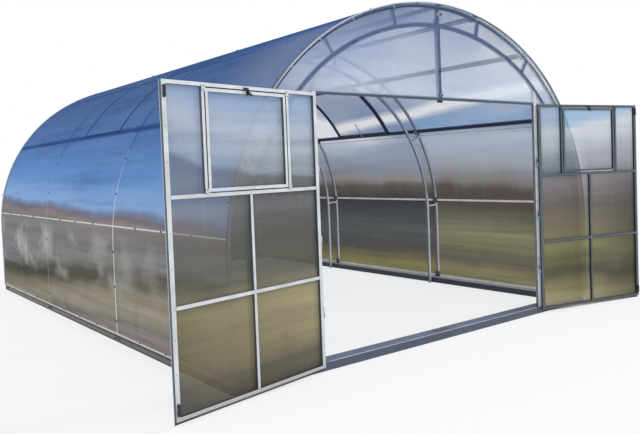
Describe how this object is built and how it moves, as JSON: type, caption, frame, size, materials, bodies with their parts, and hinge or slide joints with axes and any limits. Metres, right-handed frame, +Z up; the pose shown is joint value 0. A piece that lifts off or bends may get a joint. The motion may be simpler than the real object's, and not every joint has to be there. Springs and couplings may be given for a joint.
{
  "type": "polycarbonate greenhouse",
  "caption": "Walk-in tunnel greenhouse with a rounded roof, galvanised double tube arches, clear twin-wall sheets, roof vents and framed front doors.",
  "frame": {"origin": "underside of the front base, under the middle of the doorway and level with the front face of the tube frame", "axes": "+X to the right seen from the front, +Y from the front wall to the back wall, +Z up"},
  "size_m": [5.0107, 6.3874, 2.7299],
  "materials": {
    "galvanised_tube": "galvanised, dull",
    "base_steel": "galvanised sheet, satin",
    "dark_steel": "dark zinc, matt",
    "roof_sheet": "clear twin-wall plastic, fine flutes",
    "wall_sheet": "clear twin-wall plastic, fine flutes",
    "edge_strip": "grey edge profile"
  },
  "bodies": {
    "house": {"base_front": "base_steel", "base_back": "base_steel", "base_left": "base_steel", "base_right": "base_steel", "arch_front": "galvanised_tube", "arch_2": "galvanised_tube", "arch_3": "galvanised_tube", "arch_back": "galvanised_tube", "ridge_purlin": "galvanised_tube", "crown_purlins": "galvanised_tube", "upper_purlins": "galvanised_tube", "haunch_purlins": "galvanised_tube", "wall_rails": "galvanised_tube", "base_rails": "galvanised_tube", "connector_plates": "dark_steel", "jamb_left": "galvanised_tube", "jamb_right": "galvanised_tube", "lintel": "galvanised_tube", "king_post": "galvanised_tube", "door_stop": "dark_steel", "back_frame": "galvanised_tube", "cover_1": "roof_sheet", "cover_2": "roof_sheet", "cover_3": "roof_sheet", "edge_strips": "edge_strip", "front_wall_left": "wall_sheet", "front_wall_right": "wall_sheet", "front_gable": "wall_sheet", "back_wall": "wall_sheet", "roof_vent_frames": "dark_steel", "roof_vent_panes": "roof_sheet", "roof_vent_stays": "galvanised_tube", "left_hinge_pins": "galvanised_tube", "right_hinge_pins": "galvanised_tube"},
    "left_leaf": {"left_door_frame": "galvanised_tube", "left_door_sheet": "wall_sheet", "left_door_vent_frame": "galvanised_tube", "left_door_vent_pane": "wall_sheet", "left_door_hardware": "dark_steel", "left_door_hinges": "galvanised_tube"},
    "right_leaf": {"right_door_frame": "galvanised_tube", "right_door_sheet": "wall_sheet", "right_door_vent_frame": "galvanised_tube", "right_door_vent_pane": "wall_sheet", "right_door_hardware": "dark_steel", "right_door_hinges": "galvanised_tube"}
  },
  "joints": [
    {"name": "left_door", "type": "hinge", "parent": "house", "child": "left_leaf", "pos_m": [-1.268, -0.02, 1], "axis": [0, 0, 1], "range_deg": [0, 169]},
    {"name": "right_door", "type": "hinge", "parent": "house", "child": "right_leaf", "pos_m": [1.268, -0.02, 1], "axis": [0, 0, -1], "range_deg": [-3, 166]}
  ]
}
